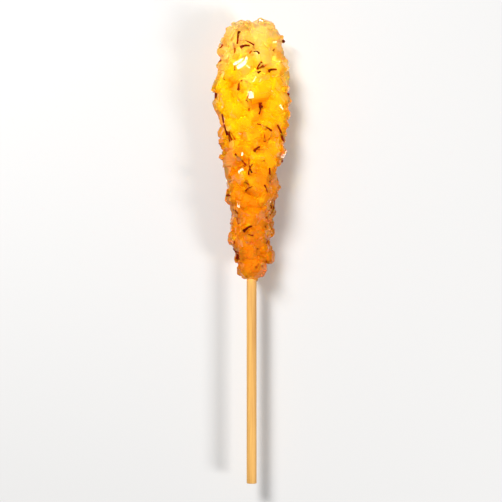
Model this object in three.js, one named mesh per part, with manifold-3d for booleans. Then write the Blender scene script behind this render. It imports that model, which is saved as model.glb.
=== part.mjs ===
// A stick of saffron rock candy: a craggy mass of sugar crystals grown round a wooden stick, with saffron
// threads caught in its surface. It lies on its side, as it does on a table. Millimetres, +Z up. The stick
// runs along Y with the candy at +Y, and the origin is under the middle of the whole object, on the surface
// that it lies on.

import * as THREE from "three";
import { ConvexGeometry } from "three/addons/geometries/ConvexGeometry.js";
import { mergeVertices } from "three/addons/utils/BufferGeometryUtils.js";
import Module from "manifold-3d";

const wasm = await Module();
wasm.setup();

// Driving dimensions.
const overallLength = 138;
const candyLength = 77;
const candyWidth = 21;
const candyThickness = 18;
const stickDiameter = 3;
const stickChamfer = 0.2;
const stickCover = 7; // candy beyond the buried end of the stick
const boreClearance = 0.32; // gap between the wood and the candy round it
const restCut = 8.4; // height of the stick's axis above the flats that the candy lies on

// The candy's outline, before the crystals stand out of it.
const neckBluntness = 3.2; // of its end at the stick
const tipBluntness = 7; // of its far end
const endRounding = 2.4;
const neckWidth = 0.56; // of its full width, near the stick
const neckThickness = 0.84; // of its full thickness, near the stick
const widensFrom = 0.15; // share of the length where it starts to widen
const widensTo = 0.82; // share of the length where it has its full width
const lumpHeight = 0.06; // of its broad lumps, as a share of its radius
const lumpsAlong = 11; // radians of the lumps' wave from end to end
const lumpsRound = 2;
const lumpsStart = 1.3; // radians
const coreShare = 0.74; // the solid heart that the crystals stand on, as a share of the outline

// One crystal, with half sizes of 1, and how the crystals vary.
const crystalRoot = 0.9; // width at its bottom
const crystalShoulder = 0.55; // height where its top bevel starts
const crystalTop = 0.66; // width of its top
const crystalShift = 0.1; // of its top, to one side
const crystalCorner = 0.45; // where the cut through its two opposite edges meets its sides
const crystalCount = 120;
const crystalSize = 6.2; // across a middling crystal
const sizeSpread = 0.32; // share by which crystals are larger or smaller
const halfWidths = [0.36, 0.5]; // least and most, as shares of a crystal's size
const halfDepths = [0.44, 0.62];
const halfHeights = [0.45, 0.6];
const sinking = [0.75, 1.05]; // least and most, as shares of a crystal's half height
const straying = 0.25; // radians round the stick, at most, from an even spread
const leaning = 0.5; // share of a crystal's direction that is left to chance
const seed = 20;

// The saffron.
const threadCount = 28;
const threadDiameter = 0.62;
const threadLength = 4.8; // of a middling thread
const threadLengths = [0.6, 1.5]; // least and most, as shares of that
const threadBend = 0.4;
const threadEndGap = 0.06; // share of the candy's length kept clear of threads' middles at each end

// How finely round forms are drawn.
const outlineSteps = 400;
const coreRings = 10;
const coreSides = 12;
const boreSides = 16;
const stickSides = 20;
const threadSides = 4;
const threadSteps = 5;

const goldenAngle = Math.PI * (3 - Math.sqrt(5));
const zAxis = new THREE.Vector3(0, 0, 1);

// Seeded draws between two values, the same on every run.
function makeBetween(start) {
  let state = start;
  return (low, high) => {
    state = (state * 1664525 + 1013904223) % 4294967296;
    return low + ((high - low) * state) / 4294967296;
  };
}

// The outline's half width and half thickness at share t of its length, from the stick's end (0) to the far
// end (1). The far end is the blunter one. The candy narrows towards the stick, more in width than in
// thickness.
function halfSizes(t) {
  const u = 2 * t - 1;
  const bluntness = u < 0 ? neckBluntness : tipBluntness;
  const ends = Math.pow(1 - Math.pow(Math.abs(u), bluntness), 1 / endRounding);
  const widening = THREE.MathUtils.smoothstep(t, widensFrom, widensTo);
  return {
    x: (ends * THREE.MathUtils.lerp(neckWidth, 1, widening) * candyWidth) / 2,
    z: (ends * THREE.MathUtils.lerp(neckThickness, 1, widening) * candyThickness) / 2,
  };
}

// A point on the outline at share t of its length and at angle a round the stick, with the candy's middle at
// y = 0. Low lumps run round it, so that its sides aren't straight.
function outlinePoint(t, a) {
  const lump = lumpHeight * Math.sin(lumpsAlong * t + lumpsRound * a + lumpsStart);
  const { x, z } = halfSizes(t);
  return new THREE.Vector3(
    Math.cos(a) * x * (1 + lump),
    (t - 0.5) * candyLength,
    Math.sin(a) * z * (1 + lump),
  );
}

function outlineNormal(t, a) {
  const step = 1e-3;
  const t0 = Math.max(t - step, 0);
  const t1 = Math.min(t + step, 1);
  const along = outlinePoint(t1, a).sub(outlinePoint(t0, a));
  const round = outlinePoint(t, a + step).sub(outlinePoint(t, a - step));
  return along.cross(round).normalize();
}

// Shares of the length that spread places evenly over the outline's area.
function evenShares(count) {
  const radii = Array.from({ length: outlineSteps + 1 }, (_, i) => {
    const { x, z } = halfSizes(i / outlineSteps);
    return (x + z) / 2;
  });
  const grown = [0];
  for (let i = 1; i <= outlineSteps; i++) {
    const slant = Math.hypot(candyLength / outlineSteps, radii[i] - radii[i - 1]);
    grown.push(grown[i - 1] + (slant * (radii[i] + radii[i - 1])) / 2);
  }
  let at = 1;
  return Array.from({ length: count }, (_, i) => {
    const wanted = ((i + 0.5) / count) * grown[outlineSteps];
    while (grown[at] < wanted) at++;
    return (at - (grown[at] - wanted) / (grown[at] - grown[at - 1])) / outlineSteps;
  });
}

// One sugar crystal: a block with two opposite edges cut off and a bevelled, slightly shifted top.
function crystalGeometry() {
  const c = crystalCorner;
  const rim = [[1, c], [c, 1], [-1, 1], [-1, -c], [-c, -1], [1, -1]];
  const levels = [
    { z: -1, share: crystalRoot, shift: 0 },
    { z: crystalShoulder, share: 1, shift: 0 },
    { z: 1, share: crystalTop, shift: crystalShift },
  ];
  const points = levels.flatMap(({ z, share, shift }) =>
    rim.map(([x, y]) => new THREE.Vector3(x * share + shift, y * share - shift, z)),
  );
  return new ConvexGeometry(points);
}

// A closed geometry as a solid that can be joined and cut.
function solidOf(geometry) {
  const bare = geometry.index ? geometry.toNonIndexed() : geometry.clone();
  bare.deleteAttribute("normal");
  bare.deleteAttribute("uv");
  const merged = mergeVertices(bare, 1e-4);
  return new wasm.Manifold(
    new wasm.Mesh({
      numProp: 3,
      vertProperties: new Float32Array(merged.attributes.position.array),
      triVerts: new Uint32Array(merged.index.array),
    }),
  );
}

function geometryOf(solid) {
  const mesh = solid.getMesh();
  const geometry = new THREE.BufferGeometry();
  geometry.setAttribute("position", new THREE.BufferAttribute(mesh.vertProperties, 3));
  geometry.setIndex(new THREE.BufferAttribute(mesh.triVerts, 1));
  geometry.computeVertexNormals();
  return geometry;
}

// Turns +Z to a direction, after a spin about it.
function facing(direction, spin) {
  const turn = new THREE.Quaternion().setFromUnitVectors(zAxis, direction);
  return turn.multiply(new THREE.Quaternion().setFromAxisAngle(zAxis, spin));
}

// The solid heart: a round bar of length and radius 1, drawn into the outline.
function coreSolid() {
  const profile = Array.from({ length: coreRings + 1 }, (_, i) => {
    const isEnd = i % coreRings === 0;
    return new THREE.Vector2(isEnd ? 0 : 1, i / coreRings);
  });
  const geometry = new THREE.LatheGeometry(profile, coreSides);
  const points = geometry.attributes.position;
  for (let i = 0; i < points.count; i++) {
    const t = points.getY(i);
    const { x, z } = halfSizes(t);
    points.setXYZ(i, points.getX(i) * x, (t - 0.5) * candyLength, points.getZ(i) * z);
  }
  geometry.scale(coreShare, coreShare, coreShare);
  return solidOf(geometry);
}

// Every crystal's place, turn and half sizes, spread evenly over the outline.
function crystalPlaces() {
  const between = makeBetween(seed);
  return evenShares(crystalCount).map((t, i) => {
    const a = i * goldenAngle + between(-straying, straying);
    const size = crystalSize * (1 + sizeSpread * between(-1, 1));
    const chance = new THREE.Vector3(between(-1, 1), between(-1, 1), between(-1, 1));
    const out = outlineNormal(t, a);
    const direction = out.clone().addScaledVector(chance, leaning).normalize();
    const half = new THREE.Vector3(
      size * between(...halfWidths),
      size * between(...halfDepths),
      size * between(...halfHeights),
    );
    const place = outlinePoint(t, a).addScaledVector(out, -half.z * between(...sinking));
    return { place, turn: facing(direction, between(0, Math.PI)), half };
  });
}

function crystalSolids() {
  const block = crystalGeometry();
  return crystalPlaces().map(({ place, turn, half }) =>
    solidOf(block.clone().applyMatrix4(new THREE.Matrix4().compose(place, turn, half))),
  );
}

// The candy without its threads: crystals on their core, bored for the stick and cut flat where it lies.
function sugarSolid() {
  const boreRadius = stickDiameter / 2 + boreClearance;
  const bore = new THREE.CylinderGeometry(boreRadius, boreRadius, candyLength, boreSides);
  bore.translate(0, boreClearance - stickCover, 0);
  return wasm.Manifold.union([coreSolid(), ...crystalSolids()])
    .subtract(solidOf(bore))
    .trimByPlane([0, 0, 1], -restCut);
}

// The points of a thread that is draped over the candy, found by looking in at the stick from outside. Its
// middle is at length y and angle a, and its heading is its angle to the stick.
function threadPoints(surface, { y, a, heading, length }) {
  const ray = new THREE.Raycaster();
  const points = [];
  for (let i = 0; i <= threadSteps; i++) {
    const along = (i / threadSteps - 0.5) * length;
    const bend = threadBend * Math.sin((i / threadSteps) * Math.PI);
    const lengthwise = Math.cos(heading) * along + Math.sin(heading) * bend;
    const sideways = Math.sin(heading) * along - Math.cos(heading) * bend;
    const turned = a + sideways / (candyWidth / 2);
    const out = new THREE.Vector3(Math.cos(turned), 0, Math.sin(turned));
    const start = new THREE.Vector3(0, y + lengthwise, 0).addScaledVector(out, candyWidth);
    ray.set(start, out.negate());
    points.push(...ray.intersectObject(surface).slice(0, 1).map((hit) => hit.point));
  }
  return points;
}

// A thread along its points, with the points on its axis, so that it's half sunk in the candy.
function threadGeometry(points) {
  const corners = Array.from({ length: threadSides }, (_, k) => {
    const turn = (k / threadSides) * 2 * Math.PI;
    return new THREE.Vector2(Math.cos(turn), Math.sin(turn)).multiplyScalar(threadDiameter / 2);
  });
  return new THREE.ExtrudeGeometry(new THREE.Shape(corners), {
    steps: threadSteps,
    extrudePath: new THREE.CatmullRomCurve3(points, false, "centripetal"),
    bevelEnabled: false,
  });
}

function threadSolids(sugar) {
  const surface = new THREE.Mesh(geometryOf(sugar));
  const between = makeBetween(seed + 1);
  return evenShares(threadCount)
    .map((t, i) => ({
      y: (THREE.MathUtils.clamp(t, threadEndGap, 1 - threadEndGap) - 0.5) * candyLength,
      a: i * goldenAngle + between(0, 1),
      heading: between(0, 2 * Math.PI),
      length: threadLength * between(...threadLengths),
    }))
    .map((place) => threadPoints(surface, place))
    .filter((points) => points.length >= threadSteps)
    .map((points) => solidOf(threadGeometry(points)));
}

function candySolid() {
  const sugar = sugarSolid();
  const whole = wasm.Manifold.union([sugar, ...threadSolids(sugar)]).trimByPlane([0, 0, 1], -restCut);
  // A scrap or a sealed pocket that the joining leaves is dropped: only the largest body stays.
  return whole.decompose().sort((p, q) => q.volume() - p.volume())[0];
}

// The wooden stick, with its edges just broken.
function stickGeometry() {
  const r = stickDiameter / 2;
  const low = candyLength / 2 - overallLength;
  const high = candyLength / 2 - stickCover;
  const profile = [
    [0, low],
    [r - stickChamfer, low],
    [r, low + stickChamfer],
    [r, high - stickChamfer],
    [r - stickChamfer, high],
    [0, high],
  ].map(([x, y]) => new THREE.Vector2(x, y));
  return new THREE.LatheGeometry(profile, stickSides);
}

const candy = new THREE.Mesh(
  geometryOf(candySolid()),
  new THREE.MeshStandardMaterial({ color: "#f5a81c", roughness: 0.12, metalness: 0 }),
);
candy.name = "candy";

const stick = new THREE.Mesh(
  stickGeometry(),
  new THREE.MeshStandardMaterial({ color: "#e3b878", roughness: 0.7, metalness: 0 }),
);
stick.name = "stick";

// The origin goes under the middle of the whole, on the surface that it lies on.
const rockCandyStick = new THREE.Group();
rockCandyStick.add(candy, stick);
const box = new THREE.Box3().setFromObject(rockCandyStick);
const middle = box.getCenter(new THREE.Vector3());
rockCandyStick.position.set(-middle.x, -middle.y, -box.min.z);

export default rockCandyStick;
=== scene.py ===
import math

import bmesh
import bpy
from mathutils import Matrix, Quaternion, Vector
from mathutils.bvhtree import BVHTree


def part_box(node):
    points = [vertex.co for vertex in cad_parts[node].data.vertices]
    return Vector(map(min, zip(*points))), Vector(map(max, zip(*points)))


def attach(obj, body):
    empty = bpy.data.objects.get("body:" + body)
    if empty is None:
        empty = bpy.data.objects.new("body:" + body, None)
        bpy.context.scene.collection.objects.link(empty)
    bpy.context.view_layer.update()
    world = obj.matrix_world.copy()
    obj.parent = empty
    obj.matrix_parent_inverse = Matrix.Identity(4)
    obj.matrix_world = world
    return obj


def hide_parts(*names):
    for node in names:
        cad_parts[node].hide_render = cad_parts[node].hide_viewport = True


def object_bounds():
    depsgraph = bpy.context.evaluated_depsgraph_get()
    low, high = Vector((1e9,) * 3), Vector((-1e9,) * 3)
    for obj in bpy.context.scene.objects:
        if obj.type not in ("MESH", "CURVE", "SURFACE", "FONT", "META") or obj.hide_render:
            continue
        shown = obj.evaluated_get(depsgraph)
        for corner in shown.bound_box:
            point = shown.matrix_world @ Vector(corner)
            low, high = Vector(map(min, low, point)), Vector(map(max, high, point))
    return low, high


mm = 0.001
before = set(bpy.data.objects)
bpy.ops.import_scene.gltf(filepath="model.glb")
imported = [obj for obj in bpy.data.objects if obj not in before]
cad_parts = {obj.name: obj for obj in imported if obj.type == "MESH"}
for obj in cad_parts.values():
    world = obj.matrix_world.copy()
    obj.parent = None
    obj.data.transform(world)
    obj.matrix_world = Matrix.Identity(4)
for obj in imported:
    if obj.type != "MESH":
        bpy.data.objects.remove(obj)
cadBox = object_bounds()
stickLow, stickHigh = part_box("stick")
stickX = (stickLow.x + stickHigh.x) / 2
stickZ = (stickLow.z + stickHigh.z) / 2
stickRadius = (stickHigh.x - stickLow.x) / 2
fullTurn = 2 * math.pi
goldenAngle = math.pi * (3 - math.sqrt(5))
facing = 0.99  # a face looks along an axis if this much of its normal does
sliver = 0.002 * mm  # lengths under this count as none
draws = {"times": 1664525, "plus": 1013904223, "range": 4294967296}


# The same seeded draws as the solid was grown with
def makeBetween(seed):
    state = seed

    def between(low=0.0, high=1.0):
        nonlocal state
        state = (state * draws["times"] + draws["plus"]) % draws["range"]
        return low + (high - low) * state / draws["range"]

    return between


def deselectAll():
    if bpy.context.object and bpy.context.object.mode != "OBJECT":
        bpy.ops.object.mode_set(mode="OBJECT")
    bpy.ops.object.select_all(action="DESELECT")


def useOnly(obj):
    deselectAll()
    obj.select_set(True)
    bpy.context.view_layer.objects.active = obj


def rename(obj, name):
    obj.name = obj.data.name = name
    return obj


# Opens edit mode with just the wanted faces or edges selected
def pick(obj, kind, wanted):
    useOnly(obj)
    bpy.ops.object.mode_set(mode="EDIT")
    bpy.ops.mesh.select_mode(type=kind)
    bpy.ops.mesh.select_all(action="DESELECT")
    mesh = bmesh.from_edit_mesh(obj.data)
    for item in mesh.faces if kind == "FACE" else mesh.edges:
        item.select_set(wanted(item))
    mesh.select_flush_mode()
    bmesh.update_edit_mesh(obj.data)


# Opens edit mode with everything selected
def pickAll(obj):
    useOnly(obj)
    bpy.ops.object.mode_set(mode="EDIT")
    bpy.ops.mesh.select_all(action="SELECT")


def applyModifier(obj, kind, **settings):
    useOnly(obj)
    modifier = obj.modifiers.new(kind.title(), kind)
    for key, value in settings.items():
        setattr(modifier, key, value)
    bpy.ops.object.modifier_apply(modifier=modifier.name)


# Moves a surface out and in by a texture that stands still in space
def roughen(obj, texture, strength, middle):
    applyModifier(
        obj,
        "DISPLACE",
        texture=texture,
        texture_coords="GLOBAL",
        strength=strength,
        mid_level=middle,
    )


def duplicate(obj, name):
    useOnly(obj)
    bpy.ops.object.duplicate()
    return rename(bpy.context.object, name)


def removeObjects(objects):
    for obj in objects:
        bpy.data.objects.remove(obj)


def surfaceOf(obj):
    return BVHTree.FromObject(obj, bpy.context.evaluated_depsgraph_get())


# The candy's outline, in the same words as the solid has it
candyShape = {
    "length": 77 * mm,
    "width": 21 * mm,
    "thickness": 18 * mm,
    "stickCover": 7 * mm,  # candy beyond the buried end of the stick
    "neckBluntness": 3.2,
    "tipBluntness": 7,
    "endRounding": 2.4,
    "neckWidth": 0.56,  # share of its full width, near the stick
    "neckThickness": 0.84,
    "widensFrom": 0.15,
    "widensTo": 0.82,
    "lumpHeight": 0.06,
    "lumpsAlong": 11,
    "lumpsRound": 2,
    "lumpsStart": 1.3,
    "coreShare": 0.74,  # size of the core under the crystals, as a share of the outline
    "coreEnds": 0.004,  # share of the length by which its ends stay clear of the outline's points
    "coreRings": 10,
    "coreSides": 24,
}
middleY = stickHigh.y + candyShape["stickCover"] - candyShape["length"] / 2
candyMiddle = Vector((stickX, middleY, stickZ))


# The half width and half thickness at share t of the length, from the stick's end to the far end
def halfSizes(t):
    u = 2 * t - 1
    bluntness = candyShape["neckBluntness"] if u < 0 else candyShape["tipBluntness"]
    ends = (1 - abs(u) ** bluntness) ** (1 / candyShape["endRounding"])
    share = (t - candyShape["widensFrom"]) / (candyShape["widensTo"] - candyShape["widensFrom"])
    share = min(max(share, 0), 1)
    narrowing = 1 - share * share * (3 - 2 * share)
    width = candyShape["width"] * (1 - narrowing * (1 - candyShape["neckWidth"]))
    thickness = candyShape["thickness"] * (1 - narrowing * (1 - candyShape["neckThickness"]))
    return ends * width / 2, ends * thickness / 2


def outlinePoint(t, a):
    wave = candyShape["lumpsAlong"] * t + candyShape["lumpsRound"] * a + candyShape["lumpsStart"]
    lump = 1 + candyShape["lumpHeight"] * math.sin(wave)
    halfWidth, halfThickness = halfSizes(t)
    along = (t - 0.5) * candyShape["length"]
    return Vector((math.cos(a) * halfWidth * lump, along, math.sin(a) * halfThickness * lump))


def outlineNormal(t, a):
    step = 1e-3
    along = outlinePoint(min(t + step, 1), a) - outlinePoint(max(t - step, 0), a)
    around = outlinePoint(t, a + step) - outlinePoint(t, a - step)
    return along.cross(around).normalized()


# Shares of the length that spread places evenly over the outline's area
def evenShares(count):
    steps = 400
    radii = [sum(halfSizes(i / steps)) / 2 for i in range(steps + 1)]
    grown = [0.0]
    for r0, r1 in zip(radii, radii[1:]):
        slant = math.hypot(candyShape["length"] / steps, r1 - r0)
        grown.append(grown[-1] + slant * (r0 + r1) / 2)
    shares, at = [], 1
    for i in range(count):
        wanted = (i + 0.5) / count * grown[-1]
        while grown[at] < wanted:
            at += 1
        shares.append((at - (grown[at] - wanted) / (grown[at] - grown[at - 1])) / steps)
    return shares


lookFrom = 1.6  # times as far out as the outline, which is clear of all crystals


# Looks in at the candy from outside, at share t of its length and angle a round it
def lookIn(surface, t, a):
    start = outlinePoint(t, a) * lookFrom
    reach = (candyShape["length"] - candyShape["width"]) / 2
    aim = Vector((0, min(max(start.y / lookFrom, -reach), reach), 0))
    start.y = aim.y + (start.y / lookFrom - aim.y) * lookFrom
    hit, normal = surface.ray_cast(candyMiddle + start, (aim - start).normalized())[:2]
    return hit, normal, (start - aim).normalized()


# One crystal, measured in its own half sizes
crystalShape = {
    "cutOff": 0.55,  # at two opposite edges
    "foot": 0.9,
    "top": 0.66,
    "topHeight": 0.45,  # over which it narrows
    "topShift": (0.1, -0.1, 0),
    "edgeAngle": 0.5,  # edges sharper than this are bevelled
    "twinPlace": (0.3, -0.14, 0),
    "twinWidths": (0.74, 0.8),
}


# True for a block's upright edges at two opposite corners
def isCutOff(edge):
    a, b = (v.co for v in edge.verts)
    return a.x * a.y > 0 and b.x * b.y > 0 and a.z * b.z < 0


# A block with two opposite edges cut off and a bevelled, slightly shifted top
def modelCrystal(edge, step):
    foot, top, topHeight = crystalShape["foot"], crystalShape["top"], crystalShape["topHeight"]
    deselectAll()
    bpy.ops.mesh.primitive_cube_add(size=2, location=(0, 0, 0))
    crystal = rename(bpy.context.object, "crystalModel")
    pick(crystal, "EDGE", isCutOff)
    bpy.ops.mesh.bevel(offset=crystalShape["cutOff"], segments=1, affect="EDGES")
    pick(crystal, "FACE", lambda f: f.normal.z < -facing)
    bpy.ops.transform.resize(value=(foot, foot, 1), center_override=(0, 0, -1))
    pick(crystal, "FACE", lambda f: f.normal.z > facing)
    bpy.ops.transform.translate(value=(0, 0, -topHeight))
    bpy.ops.mesh.extrude_region_move(TRANSFORM_OT_translate={"value": (0, 0, topHeight)})
    bpy.ops.transform.resize(value=(top, top, 1), center_override=(0, 0, 1))
    bpy.ops.transform.translate(value=crystalShape["topShift"])
    deselectAll()
    if edge:
        angle = crystalShape["edgeAngle"]
        applyModifier(crystal, "BEVEL", width=edge, segments=1, limit_method="ANGLE", angle_limit=angle)
    if step:  # a second crystal grown along the first leaves low steps on its faces
        twin = duplicate(crystal, "twinModel")
        size = Vector((*crystalShape["twinWidths"], 1 + step))
        twin.data.transform(Matrix.LocRotScale(Vector(crystalShape["twinPlace"]), None, size))
        fuse(crystal, [twin])
    return crystal


def copyCrystal(model, place, direction, spin, half):
    turn = Vector((0, 0, 1)).rotation_difference(direction) @ Quaternion((0, 0, 1), spin)
    copy = bpy.data.objects.new("crystal", model.data.copy())
    copy.data.transform(Matrix.LocRotScale(place, turn, half))
    return copy


# True for a crystal that keeps to the size the candy has been given
def standsInside(crystal):
    low, high = cadBox
    corners = [v.co for v in crystal.data.vertices]
    return all(low.x < c.x < high.x and c.y < high.y and c.z < high.z for c in corners)


# Pairs are least and most: half sizes as shares of the size, and sinking of the half height
bigCrystals = {
    "count": 120,
    "seed": 20,
    "size": 6.2 * mm,
    "spread": 0.32,
    "halfWidths": (0.36, 0.5),
    "halfDepths": (0.44, 0.62),
    "halfHeights": (0.45, 0.6),
    "sinking": (0.75, 1.05),
    "straying": 0.25,  # round the stick, at most, from an even spread
    "lean": 0.5,
    "edge": 0.03,
    "step": 0.06,
}
smallCrystals = {
    "count": 420,
    "seed": 77,
    "least": 1.2 * mm,
    "most": 4.0 * mm,
    "rarity": 1.5,  # the higher, the fewer of them are large
    "halfWidths": (0.36, 0.5),
    "halfDepths": (0.44, 0.62),
    "halfHeights": (0.45, 0.7),
    "sinking": (0.3, 0.9),
    "straying": 0.4,
    "lean": 0.8,
    "outward": 0.4,
}


# Draws how a crystal leans, and then its half sizes
def drawCrystal(between, kind, size):
    lean = Vector([between(-1, 1) for axis in range(3)]) * kind["lean"]
    half = [size * between(*kind[side]) for side in ("halfWidths", "halfDepths", "halfHeights")]
    return lean, Vector(half)


def growBigCrystals():
    model = modelCrystal(bigCrystals["edge"], bigCrystals["step"])
    between = makeBetween(bigCrystals["seed"])
    straying = bigCrystals["straying"]
    grown = []
    for i, t in enumerate(evenShares(bigCrystals["count"])):
        a = i * goldenAngle + between(-straying, straying)
        size = bigCrystals["size"] * (1 + bigCrystals["spread"] * between(-1, 1))
        lean, half = drawCrystal(between, bigCrystals, size)
        out = outlineNormal(t, a)
        sunk = half.z * between(*bigCrystals["sinking"])
        place = candyMiddle + outlinePoint(t, a) - out * sunk
        direction = (out + lean).normalized()
        grown.append(copyCrystal(model, place, direction, between(0, math.pi), half))
    removeObjects([model])
    return grown


# Small crystals stand on the big ones' faces and fill the gaps between them
def growSmallCrystals(surface):
    model = modelCrystal(0, 0)
    between = makeBetween(smallCrystals["seed"])
    straying = smallCrystals["straying"]
    least, most = smallCrystals["least"], smallCrystals["most"]
    grown = []
    for i, t in enumerate(evenShares(smallCrystals["count"])):
        a = i * goldenAngle + between(-straying, straying)
        size = least + (most - least) * between() ** smallCrystals["rarity"]
        lean, half = drawCrystal(between, smallCrystals, size)
        spin = between(0, math.pi)
        sunk = between(*smallCrystals["sinking"])
        hit, normal, out = lookIn(surface, t, a)
        if hit is not None:
            direction = (normal + out * smallCrystals["outward"] + lean).normalized()
            crystal = copyCrystal(model, hit - direction * half.z * sunk, direction, spin, half)
            if standsInside(crystal):
                grown.append(crystal)
            else:
                bpy.data.objects.remove(crystal)
    removeObjects([model])
    return grown


# A round bar drawn into the outline, which the crystals stand on
def modelCore():
    rings, clear = candyShape["coreRings"], candyShape["coreEnds"]
    deselectAll()
    bpy.ops.mesh.primitive_cylinder_add(
        vertices=candyShape["coreSides"],
        radius=1,
        depth=1,
        end_fill_type="TRIFAN",
        rotation=(math.pi / 2, 0, 0),
    )
    core = bpy.context.object
    bpy.ops.object.transform_apply(location=False, rotation=True, scale=False)
    bpy.ops.object.mode_set(mode="EDIT")
    for ring in range(1, rings):
        bpy.ops.mesh.select_all(action="SELECT")
        bpy.ops.mesh.bisect(plane_co=(0, ring / rings - 0.5, 0), plane_no=(0, 1, 0))
    bpy.ops.object.mode_set(mode="OBJECT")
    for vertex in core.data.vertices:
        x, y, z = vertex.co
        halfWidth, halfThickness = halfSizes(min(max(y + 0.5, clear), 1 - clear))
        drawn = Vector((x * halfWidth, y * candyShape["length"], z * halfThickness))
        vertex.co = candyMiddle + drawn * candyShape["coreShare"]
    return core


# Joins pieces to a body, or takes them off it
def fuse(body, pieces, operation="UNION"):
    group = bpy.data.collections.new("pieces")
    bpy.context.scene.collection.children.link(group)
    for piece in pieces:
        for home in list(piece.users_collection):
            home.objects.unlink(piece)
        group.objects.link(piece)
    applyModifier(
        body,
        "BOOLEAN",
        operation=operation,
        operand_type="COLLECTION",
        collection=group,
        solver="MANIFOLD",
    )
    removeObjects(pieces)
    bpy.data.collections.remove(group)


# Takes off what lies under the floor, flat
def cutBelow(body):
    depth = candyShape["thickness"]
    size = (2 * depth, candyShape["length"], depth)
    deselectAll()
    bpy.ops.mesh.primitive_cube_add(location=(stickX, middleY, -depth), scale=size)
    fuse(body, [bpy.context.object], "DIFFERENCE")


# Keeps only the largest body, as the others are scraps and sealed pockets, and takes slivers off it
def dropScraps(body):
    pickAll(body)
    bpy.ops.mesh.separate(type="LOOSE")
    bpy.ops.object.mode_set(mode="OBJECT")
    bodies = sorted(bpy.context.selected_objects, key=lambda obj: len(obj.data.polygons))
    removeObjects(bodies[:-1])
    pickAll(bodies[-1])
    bpy.ops.mesh.dissolve_degenerate(threshold=sliver)
    bpy.ops.object.mode_set(mode="OBJECT")
    return bodies[-1]


def buildCandy():
    candy = modelCore()
    fuse(candy, growBigCrystals())
    fuse(candy, growSmallCrystals(surfaceOf(candy)))
    cutBelow(candy)
    candy = rename(dropScraps(candy), "candyCrystals")
    print("crystals:", len(candy.data.polygons), "faces")
    return candy


candy = buildCandy()

# Under its clear outer crystals the candy is cloudy
heartShape = {
    "voxel": 0.6 * mm,
    "smoothing": 0.5,
    "smoothings": 4,
    "depth": 1.2 * mm,  # of the clear layer over it
    "endDepth": 3.2 * mm,  # and at the far end
    "endFrom": 0.8,
    "facets": 2.6 * mm,
    "relief": 0.7 * mm,
    "reliefMiddle": 0.6,  # where the texture has this value, the surface stays in place
}


def buildHeart():
    heart = duplicate(candy, "cloudyHeart")
    applyModifier(heart, "REMESH", mode="VOXEL", voxel_size=heartShape["voxel"])
    applyModifier(heart, "SMOOTH", factor=heartShape["smoothing"], iterations=heartShape["smoothings"])
    depth, endDepth, endFrom = heartShape["depth"], heartShape["endDepth"], heartShape["endFrom"]
    clear = heart.vertex_groups.new(name="clear")
    for vertex in heart.data.vertices:
        t = (vertex.co.y - middleY) / candyShape["length"] + 0.5
        share = min(max((t - endFrom) / (1 - endFrom), 0), 1)
        clear.add([vertex.index], (depth + (endDepth - depth) * share) / endDepth, "REPLACE")
    applyModifier(heart, "DISPLACE", strength=-endDepth, mid_level=0, vertex_group="clear")
    facets = bpy.data.textures.new("facets", "VORONOI")
    facets.noise_scale = heartShape["facets"]
    roughen(heart, facets, heartShape["relief"], heartShape["reliefMiddle"])
    applyModifier(heart, "REMESH", mode="VOXEL", voxel_size=heartShape["voxel"])
    heart = rename(dropScraps(heart), "cloudyHeart")
    useOnly(heart)
    bpy.ops.object.shade_smooth()
    print("heart:", len(heart.data.polygons), "faces")
    return heart


heart = buildHeart()
candySurface = surfaceOf(candy)
heartSurface = surfaceOf(heart)

# Saffron threads, some on the surface and some sunk in the clear layer
threadShape = {
    "length": 4.8 * mm,
    "bend": 0.4 * mm,
    "steps": 6,
    "radius": 0.36 * mm,
    "root": 0.6,  # share of that radius
    "taper": 0.25,  # it grows by this much evenly
    "flare": 0.4,  # and by this much mostly at its tip
    "flarePower": 4,
    "smoothings": 4,
    "leastFound": 0.7,  # share of its points that must lie over the candy
    "smoothUnder": 0.9,
}


# Lays a thread between the heart (height 0) and the surface (height 1)
def drapedPath(y, a, heading, length, bend, height, steps):
    candyWidth = candyShape["width"]
    points = []
    for i in range(steps + 1):
        along = (i / steps - 0.5) * length
        side = bend * math.sin(i / steps * math.pi)
        pointY = y + math.cos(heading) * along + math.sin(heading) * side
        angle = a + (math.sin(heading) * along - math.cos(heading) * side) / (candyWidth / 2)
        out = Vector((math.cos(angle), 0, math.sin(angle)))
        start = candyMiddle + Vector((0, pointY, 0)) + out * candyWidth
        top = candySurface.ray_cast(start, -out, candyWidth)[0]
        bottom = heartSurface.ray_cast(start, -out, candyWidth)[0]
        if top is not None and bottom is not None:
            point = bottom.lerp(top, height)
            point.z = max(point.z, 2 * threadShape["radius"])
            points.append(point)
    for smoothing in range(threadShape["smoothings"]):
        points[1:-1] = [(p + 2 * q + r) / 4 for p, q, r in zip(points, points[1:], points[2:])]
    return points


# A thread is thin at one end and flares at the other
def growThread(points, thickness, height):
    deselectAll()
    bpy.ops.curve.primitive_nurbs_path_add()
    thread = bpy.context.object
    spline = thread.data.splines[0]
    spline.points.add(len(points) - len(spline.points))
    for i, point in enumerate(points):
        share = i / (len(points) - 1)
        flare = threadShape["flare"] * share ** threadShape["flarePower"]
        spline.points[i].co = (*point, 1)
        spline.points[i].radius = thickness * (threadShape["root"] + threadShape["taper"] * share + flare)
    spline.use_endpoint_u = True
    spline.order_u = 3
    thread.data.resolution_u = 2
    thread.data.bevel_depth = threadShape["radius"]
    thread.data.bevel_resolution = 1
    thread.data.use_fill_caps = True
    bpy.ops.object.convert(target="MESH")
    thread = bpy.context.object
    sunk = thread.data.attributes.new("sunk", "FLOAT", "POINT")  # the paint reads how deep it lies
    sunk.data.foreach_set("value", [max(1 - height, 0)] * len(thread.data.vertices))
    return thread


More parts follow.
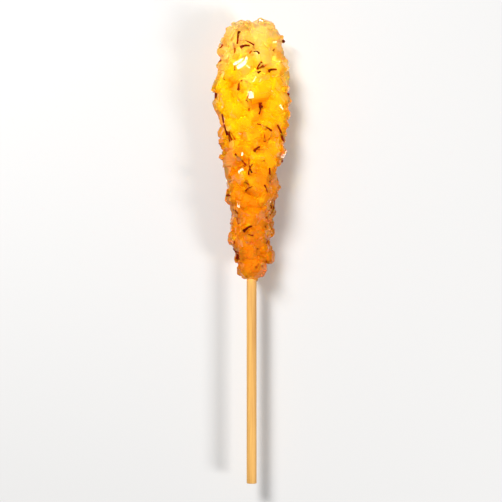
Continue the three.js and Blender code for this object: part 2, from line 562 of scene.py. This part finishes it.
# Pairs are least and most: along in shares of the candy's length, length and bend in shares of a
# thread's, and thickness of its radius
mainThreads = {
    "count": 28,
    "seed": 21,
    "along": (0.06, 0.94),
    "length": (0.6, 1.5),
    "height": 1.1,
    "thickness": 1.2,
}


def layMainThreads():
    between = makeBetween(mainThreads["seed"])
    low, high = mainThreads["along"]
    height, bend, steps = mainThreads["height"], threadShape["bend"], threadShape["steps"]
    for i, t in enumerate(evenShares(mainThreads["count"])):
        y = (min(max(t, low), high) - 0.5) * candyShape["length"]
        a = i * goldenAngle + between()
        heading = between(0, fullTurn)
        length = threadShape["length"] * between(*mainThreads["length"])
        points = drapedPath(y, a, heading, length, bend, height, steps)
        yield points, steps, mainThreads["thickness"], height


tufts = {
    "count": 20,
    "seed": 905,
    "strands": 4,
    "forkedEvery": 3,  # such a tuft's strands part from one point, and it has one fewer
    "forkedFan": 0.8,  # how far to either side they head
    "strayFan": 3.2,
    "strayAlong": 0.06,
    "strayRound": 0.5,
    "along": (0.1, 0.9),
    "length": (0.25, 1.1),
    "bend": (-1.5, 1.5),
    "height": (0.7, 1.15),
    "thickness": (0.5, 1),
}


def layTufts():
    between = makeBetween(tufts["seed"])
    strayAlong, strayRound, steps = tufts["strayAlong"], tufts["strayRound"], threadShape["steps"]
    for tuft in range(tufts["count"]):
        middle = between(*tufts["along"])
        turn, aim = between(0, fullTurn), between(0, fullTurn)
        forked = tuft % tufts["forkedEvery"] == 0
        stray = 0 if forked else 1
        fan = tufts["forkedFan"] if forked else tufts["strayFan"]
        for strand in range(tufts["strands"] - forked):
            y = (middle - 0.5 + stray * between(-strayAlong, strayAlong)) * candyShape["length"]
            a = turn + stray * between(-strayRound, strayRound)
            heading = aim + between(-1, 1) * fan
            length = threadShape["length"] * between(*tufts["length"])
            bend = threadShape["bend"] * between(*tufts["bend"])
            if forked:
                y += math.cos(heading) * length / 2
                a += math.sin(heading) * length / candyShape["width"]
            height, thickness = between(*tufts["height"]), between(*tufts["thickness"])
            yield drapedPath(y, a, heading, length, bend, height, steps), steps, thickness, height


crumbs = {
    "count": 80,
    "seed": 41,
    "size": 1.3 * mm,
    "steps": 4,
    "along": (0.04, 0.93),
    "length": (0.5, 1.5),  # shares of the size
    "height": (0.7, 1.05),
    "thickness": (0.45, 1.1),
}


def layCrumbs():
    between = makeBetween(crumbs["seed"])
    steps = crumbs["steps"]
    for crumb in range(crumbs["count"]):
        y = (between(*crumbs["along"]) - 0.5) * candyShape["length"]
        a, heading = between(0, fullTurn), between(0, fullTurn)
        length = crumbs["size"] * between(*crumbs["length"])
        height, thickness = between(*crumbs["height"]), between(*crumbs["thickness"])
        yield drapedPath(y, a, heading, length, 0, height, steps), steps, thickness, height


def buildThreads():
    threads = []
    for lay in (layMainThreads, layTufts, layCrumbs):
        for points, steps, thickness, height in lay():
            if len(points) > threadShape["leastFound"] * (steps + 1):
                threads.append(growThread(points, thickness, height))
    deselectAll()
    for thread in threads:
        thread.select_set(True)
    bpy.context.view_layer.objects.active = threads[0]
    bpy.ops.object.join()
    joined = rename(bpy.context.object, "saffronThreads")
    bpy.ops.object.transform_apply(location=True, rotation=True, scale=True)
    pickAll(joined)
    bpy.ops.mesh.remove_doubles(threshold=sliver)
    bpy.ops.object.mode_set(mode="OBJECT")
    bpy.ops.object.shade_smooth_by_angle(angle=threadShape["smoothUnder"])
    print("threads:", len(threads), "with", len(joined.data.polygons), "faces")
    return joined


threads = buildThreads()

stickShape = {
    "sides": 40,
    "rings": 44,
    "edge": 0.22 * mm,
    "sawnBorder": 0.3 * mm,
    "sawnDepth": 0.05 * mm,
    "grainSize": 1.6 * mm,
    "grainDepth": 0.07 * mm,
    "grainMiddle": 0.6,  # where the texture has this value, the surface stays in place
    "smoothUnder": 0.6,
}


# A dowel with its edges broken, sawn ends and a little unevenness along it
def buildStick():
    length = stickHigh.y - stickLow.y
    deselectAll()
    bpy.ops.mesh.primitive_cylinder_add(
        vertices=stickShape["sides"],
        radius=stickRadius,
        depth=length,
        location=(stickX, (stickLow.y + stickHigh.y) / 2, stickZ),
        rotation=(math.pi / 2, 0, 0),
    )
    stick = rename(bpy.context.object, "woodenStick")
    bpy.ops.object.transform_apply(location=True, rotation=True, scale=True)
    pick(stick, "EDGE", lambda e: abs(e.verts[0].co.y - e.verts[1].co.y) < sliver)
    bpy.ops.mesh.bevel(offset=stickShape["edge"], segments=2, affect="EDGES")
    pick(stick, "FACE", lambda f: abs(f.normal.y) > facing)
    border, depth = stickShape["sawnBorder"], stickShape["sawnDepth"]
    bpy.ops.mesh.inset(thickness=border, depth=-depth, use_individual=True)
    for ring in range(1, stickShape["rings"]):
        bpy.ops.mesh.select_all(action="SELECT")
        cut = stickLow.y + length * ring / stickShape["rings"]
        bpy.ops.mesh.bisect(plane_co=(0, cut, 0), plane_no=(0, 1, 0))
    grain = bpy.data.textures.new("grain", "CLOUDS")
    grain.noise_scale = stickShape["grainSize"]
    roughen(stick, grain, stickShape["grainDepth"], stickShape["grainMiddle"])
    bpy.ops.object.shade_smooth_by_angle(angle=stickShape["smoothUnder"])
    print("stick:", len(stick.data.polygons), "faces")
    return stick


stick = buildStick()


def addNode(paint, kind, inputs, **settings):
    node = paint.node_tree.nodes.new("ShaderNode" + kind)
    for name, value in settings.items():
        setattr(node, name, value)
    for name, value in inputs.items():
        if isinstance(value, bpy.types.NodeSocket):
            paint.node_tree.links.new(value, node.inputs[name])
        else:
            node.inputs[name].default_value = value
    return node


def shaderOf(paint):
    return paint.node_tree.nodes["Principled BSDF"]


def newPaint(name, values):
    paint = bpy.data.materials.new(name)
    paint.use_nodes = True
    for key, value in values.items():
        shaderOf(paint).inputs[key].default_value = value
    return paint


def feed(paint, name, value):
    paint.node_tree.links.new(value, shaderOf(paint).inputs[name])


def mathOf(paint, operation, first, second):
    return addNode(paint, "Math", {0: first, 1: second}, operation=operation).outputs["Value"]


def vectorMathOf(paint, operation, first, second=(0, 0, 0)):
    return addNode(paint, "VectorMath", {0: first, 1: second}, operation=operation).outputs


# Object coordinates, moved to a centre and stretched
def placeOn(paint, centre=(0, 0, 0), stretch=(1, 1, 1)):
    place = addNode(paint, "TexCoord", {}).outputs["Object"]
    place = vectorMathOf(paint, "SUBTRACT", place, centre)["Vector"]
    return vectorMathOf(paint, "MULTIPLY", place, stretch)["Vector"]


def noise(paint, place, scale, detail=3.0):
    inputs = {"Vector": place, "Scale": scale, "Detail": detail}
    return addNode(paint, "TexNoise", inputs).outputs["Fac"]


def spread(paint, value, low, high, newLow=0.0, newHigh=1.0):
    inputs = {"Value": value, "From Min": low, "From Max": high, "To Min": newLow, "To Max": newHigh}
    return addNode(paint, "MapRange", inputs).outputs["Result"]


def blend(paint, share, first, second):
    colours = {6: first, 7: second}  # by the mixing node's colour sockets
    for socket, colour in colours.items():
        if isinstance(colour, tuple):
            colours[socket] = (*colour, 1)
    return addNode(paint, "Mix", {0: share, **colours}, data_type="RGBA").outputs[2]


def addBump(paint, height, distance, strength=1.0):
    bump = addNode(paint, "Bump", {"Height": height, "Distance": distance, "Strength": strength})
    feed(paint, "Normal", bump.outputs["Normal"])


noiseRange = (0.3, 0.7)  # most of a noise's values lie between these


# Soft patches that add or take off up to an amount
def patches(paint, scale, amount):
    return spread(paint, noise(paint, placeOn(paint), scale), *noiseRange, -amount, amount)


# Small flat facets, each with a tilt of its own
def addFacets(paint, size, tilt, centre):
    grey = (0.5, 0.5, 0.5)
    place = placeOn(paint, centre)
    cells = addNode(paint, "TexVoronoi", {"Vector": place, "Scale": 1 / size}).outputs
    inCell = vectorMathOf(paint, "SUBTRACT", place, cells["Position"])["Vector"]
    slope = vectorMathOf(paint, "SUBTRACT", cells["Color"], grey)["Vector"]
    addBump(paint, vectorMathOf(paint, "DOT_PRODUCT", inCell, slope)["Value"], tilt)


# Share of the candy's length, from the stick's end to the far end
def lengthShare(paint):
    place = placeOn(paint, candyMiddle)
    y = addNode(paint, "SeparateXYZ", {"Vector": place}).outputs["Y"]
    return spread(paint, y, -candyShape["length"] / 2, candyShape["length"] / 2)


# How far out from the stick a point lies: 1 is on the candy's outline
def radialShare(paint):
    place = placeOn(paint, candyMiddle, (2 / candyShape["width"], 0, 2 / candyShape["thickness"]))
    return vectorMathOf(paint, "LENGTH", place)["Value"]


# Where along the candy its tone changes, from 0 at the stick's end to 1 at the far end
toneShares = {
    "deepest": 0.1,
    "deepTo": 0.8,
    "paleFrom": 0.76,
    "paleTo": 1.0,
    "palePatches": 150,  # to the metre, as are all patches and grains
    "palePatchShare": 0.12,
}


# Deeper and darker towards the stick: partly the candy's own deeper colour, partly painted shade near the
# stick
def deepAndShadeShare(paint):
    return spread(paint, lengthShare(paint), toneShares["deepTo"], toneShares["deepest"])


def paleShare(paint):
    uneven = patches(paint, toneShares["palePatches"], toneShares["palePatchShare"])
    share = mathOf(paint, "ADD", lengthShare(paint), uneven)
    return spread(paint, share, toneShares["paleFrom"], toneShares["paleTo"])


crystalLook = {
    "shader": {
        "IOR": 1.38,
        "Transmission Weight": 0.6,
        "Subsurface Weight": 1,
        "Subsurface Scale": 0.4 * mm,
        "Subsurface Radius": (1, 0.5, 0.08),
    },
    "clear": (1.0, 0.54, 0.006),
    # deeper and darker towards the stick, partly its own colour and partly painted shade
    "deepAndShaded": (0.77, 0.31, 0.003),
    "pale": (1.0, 0.71, 0.24),
    "inside": {"Color": (1, 0.65, 0.05, 1), "Density": 60.0},
    "roughness": (0.02, 0.1),
    "roughPatches": 400,
    "facets": 4.6 * mm,
    "facetsCentre": (20 * mm, -10 * mm, 7 * mm),  # moves them, and so the glints
    "tilt": 0.3,
}


def crystalPaint():
    look = crystalLook
    paint = newPaint("clearCandy", look["shader"])
    colour = blend(paint, deepAndShadeShare(paint), look["clear"], look["deepAndShaded"])
    feed(paint, "Base Color", blend(paint, paleShare(paint), colour, look["pale"]))
    rough = noise(paint, placeOn(paint), look["roughPatches"])
    feed(paint, "Roughness", spread(paint, rough, *noiseRange, *look["roughness"]))
    addFacets(paint, look["facets"], look["tilt"], look["facetsCentre"])
    inside = addNode(paint, "VolumeAbsorption", look["inside"]).outputs["Volume"]
    output = paint.node_tree.nodes["Material Output"]
    paint.node_tree.links.new(inside, output.inputs["Volume"])
    return paint


# Its tone rises outwards, partly as painted shade that darkens it deeper in, goes up and down in patches,
# and falls towards the stick, partly as its own deeper colour and partly as painted shade
heartLook = {
    "shader": {
        "Roughness": 0.5,
        "IOR": 1.2,
        "Subsurface Weight": 1.0,
        "Subsurface Scale": 3 * mm,
        "Subsurface Radius": (1, 0.5, 0.1),
    },
    # lower deeper in, partly painted shade between the crystals
    "outward": (0.55, 1.0),
    "patches": 160,
    "patchShare": 0.35,
    # the tone falls towards the stick, partly as its own deeper colour and partly as painted shade
    "deepAndShadeShift": -0.95,
    "deepAndShaded": (0.77, 0.33, 0.002),
    "golden": (1.0, 0.74, 0.006),
    "goldenTone": (-0.1, 0.4),
    "bright": (1.0, 0.86, 0.02),
    "brightTone": (0.6, 1.2),
    "pale": (1.0, 0.76, 0.22),
    # small bright spots painted into the colour: painted sparkle highlights
    "paintedSparkle": (1.0, 0.98, 0.10),
    "paintedSparkles": 420,
    "paintedSparkleDetail": 1,
    "paintedSparkleRange": (0.64, 0.7),
    "grains": 700,
    "grainDepth": 0.2 * mm,
    "grainShare": 0.5,
}


def heartPaint():
    look = heartLook
    paint = newPaint("cloudyCandy", look["shader"])
    # painted shade: the tone falls deeper in, away from the outline
    outward = spread(paint, radialShare(paint), *look["outward"])
    tone = mathOf(paint, "ADD", outward, patches(paint, look["patches"], look["patchShare"]))
    shift = mathOf(paint, "MULTIPLY", deepAndShadeShare(paint), look["deepAndShadeShift"])
    tone = mathOf(paint, "ADD", tone, shift)
    colour = blend(paint, spread(paint, tone, *look["goldenTone"]), look["deepAndShaded"], look["golden"])
    colour = blend(paint, spread(paint, tone, *look["brightTone"]), colour, look["bright"])
    # painted sparkle highlights: small bright spots in the colour
    paintedSparkles = noise(paint, placeOn(paint), look["paintedSparkles"], look["paintedSparkleDetail"])
    colour = blend(paint, spread(paint, paintedSparkles, *look["paintedSparkleRange"]), colour, look["paintedSparkle"])
    feed(paint, "Base Color", blend(paint, paleShare(paint), colour, look["pale"]))
    grains = noise(paint, placeOn(paint), look["grains"])
    addBump(paint, grains, look["grainDepth"], look["grainShare"])
    return paint


threadLook = {
    "shader": {"Roughness": 0.55, "IOR": 1.12},
    "dark": (0.075, 0.002, 0.0005),
    "red": (0.32, 0.022, 0.001),
    "redPatches": 450,
    "redRange": (0.35, 0.65),
    "sunk": (0.62, 0.13, 0.002),
    "sunkAt": 0.5,  # this deep in the clear layer, it has all of that colour
    "ridges": 3000,
    "ridgeDepth": 0.1 * mm,
}


def threadPaint():
    look = threadLook
    paint = newPaint("saffron", look["shader"])
    tone = spread(paint, noise(paint, placeOn(paint), look["redPatches"]), *look["redRange"])
    colour = blend(paint, tone, look["dark"], look["red"])
    sunk = addNode(paint, "Attribute", {}, attribute_name="sunk").outputs["Fac"]
    sunk = spread(paint, sunk, 0, look["sunkAt"])
    feed(paint, "Base Color", blend(paint, sunk, colour, look["sunk"]))
    addBump(paint, noise(paint, placeOn(paint), look["ridges"]), look["ridgeDepth"])
    return paint


# Grain and bands have these many to the metre across, along and up, so that they run along the stick
woodLook = {
    "shader": {"Roughness": 0.6},
    "dark": (0.58, 0.25, 0.05),
    "pale": (0.94, 0.53, 0.135),
    "grain": (1800, 60, 1800),
    "grainDetail": 4,
    "grainShare": 0.6,
    "grainDepth": 0.08 * mm,
    "bands": (500, 12, 500),
    "bandDetail": 2,
    "bandShare": 0.5,
}


def woodPaint():
    look = woodLook
    paint = newPaint("paleWood", look["shader"])
    grain = noise(paint, placeOn(paint, stretch=look["grain"]), 1, look["grainDetail"])
    bands = noise(paint, placeOn(paint, stretch=look["bands"]), 1, look["bandDetail"])
    fine = spread(paint, grain, *noiseRange, 0, look["grainShare"])
    broad = spread(paint, bands, *noiseRange, 0, look["bandShare"])
    tone = mathOf(paint, "ADD", fine, broad)
    feed(paint, "Base Color", blend(paint, tone, look["dark"], look["pale"]))
    addBump(paint, grain, look["grainDepth"])
    return paint


def dress(obj, paint, slot, *replaced):
    obj.data.materials.clear()
    obj.data.materials.append(paint)
    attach(obj, "root")
    if replaced:
        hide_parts(*replaced)


dress(candy, crystalPaint(), "rock_candy", "candy")
candy.visible_shadow = False  # light reaches the cloudy heart through the clear crystals
dress(heart, heartPaint(), "rock_candy")
dress(threads, threadPaint(), "saffron")
dress(stick, woodPaint(), "wood", "stick")
print("dressed")

studio = {
    "floorSize": 4,
    "floor": {"Base Color": (0.78, 0.775, 0.77, 1), "Roughness": 0.7},
    "sky": {"Color": (1, 0.99, 0.97, 1), "Strength": 0.18},
}
lamps = {
    "key": {"place": (-0.25, 0.3, 0.5), "size": 0.19, "power": 3.8},
    "fill": {"place": (0.4, -0.2, 0.35), "size": 0.12, "power": 1.5},
}
view = {"height": 0.62, "shownHeight": 0.15, "sensor": 36}


def buildStage():
    deselectAll()
    bpy.ops.mesh.primitive_plane_add(size=studio["floorSize"])
    floor = rename(bpy.context.object, "floor")
    floor.data.materials.append(newPaint("floorPaint", studio["floor"]))
    world = bpy.data.worlds.new("studio")
    world.use_nodes = True
    for key, value in studio["sky"].items():
        world.node_tree.nodes["Background"].inputs[key].default_value = value
    bpy.context.scene.world = world
    bpy.context.scene.view_settings.view_transform = "Standard"


def addLamp(name, place, size, power):
    data = bpy.data.lights.new(name, "AREA")
    data.size = size
    data.energy = power
    lamp = bpy.data.objects.new(name, data)
    bpy.context.scene.collection.objects.link(lamp)
    lamp.location = place
    lamp.rotation_euler = (-Vector(place)).to_track_quat("-Z", "Y").to_euler()


def addCamera():
    data = bpy.data.cameras.new("camera")
    camera = bpy.data.objects.new("camera", data)
    bpy.context.scene.collection.objects.link(camera)
    centre = (cadBox[0] + cadBox[1]) / 2
    camera.location = centre + Vector((0, 0, view["height"]))
    data.sensor_width = view["sensor"]
    data.lens = view["sensor"] * view["height"] / view["shownHeight"]
    bpy.context.scene.camera = camera


buildStage()
for name, lamp in lamps.items():
    addLamp(name, **lamp)
addCamera()
print("lit")
